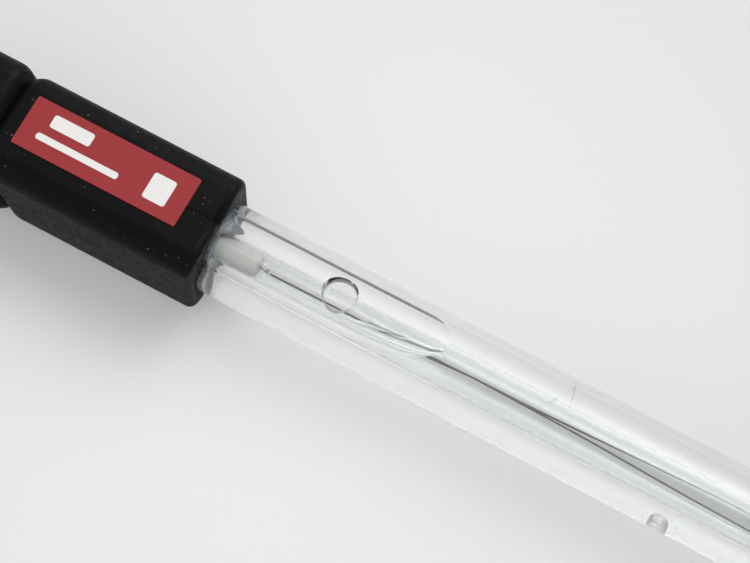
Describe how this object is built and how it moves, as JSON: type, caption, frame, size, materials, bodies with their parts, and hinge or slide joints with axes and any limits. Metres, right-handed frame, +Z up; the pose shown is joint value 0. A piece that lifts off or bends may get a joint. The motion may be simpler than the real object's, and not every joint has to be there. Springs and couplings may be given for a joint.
{
  "type": "reference electrode",
  "caption": "Laboratory reference electrode with a black moulded head, a clear filled tube, a refill hole, and an inner tube holding a silver wire.",
  "frame": {"origin": "on the body tube's axis, in the plane of the cap's front face", "axes": "+X along the body tube to its tip, +Z up out of the refill hole and the label face, +Y to the far side"},
  "size_m": [0.1443, 0.0154, 0.0154],
  "materials": {
    "head_plastic": "satin black moulding with a fine grain",
    "grommet_rubber": "matt black rubber",
    "label_vinyl": "red vinyl with white fields, slightly glossy",
    "clear_glass": "clear polished tube glass",
    "porous_ceramic": "off-white, matt and porous",
    "white_plastic": "milky white, soft sheen",
    "silver": "dulled silver wire, darkened by its coating",
    "silver_chloride": "grey-violet, matt",
    "tinned_brass": "tinned crimp metal",
    "shrink_plastic": "matt black sleeve",
    "potting_resin": "blue-grey translucent resin",
    "clear_solution": "clear colourless filling solution"
  },
  "bodies": {
    "root": {"cap": "head_plastic", "cable_head": "head_plastic", "inlet_grommet": "grommet_rubber", "label_plate": "label_vinyl", "body_tube": "clear_glass", "side_junction": "porous_ceramic", "inner_tube": "clear_glass", "inner_frit": "porous_ceramic", "stopper": "white_plastic", "silver_wire": "silver", "chloride_bead": "silver_chloride", "crimp_ferrule": "tinned_brass", "shrink_sleeve": "shrink_plastic", "tube_potting": "potting_resin", "head_potting": "potting_resin", "inner_solution": "clear_solution", "outer_solution": "clear_solution"}
  },
  "joints": []
}
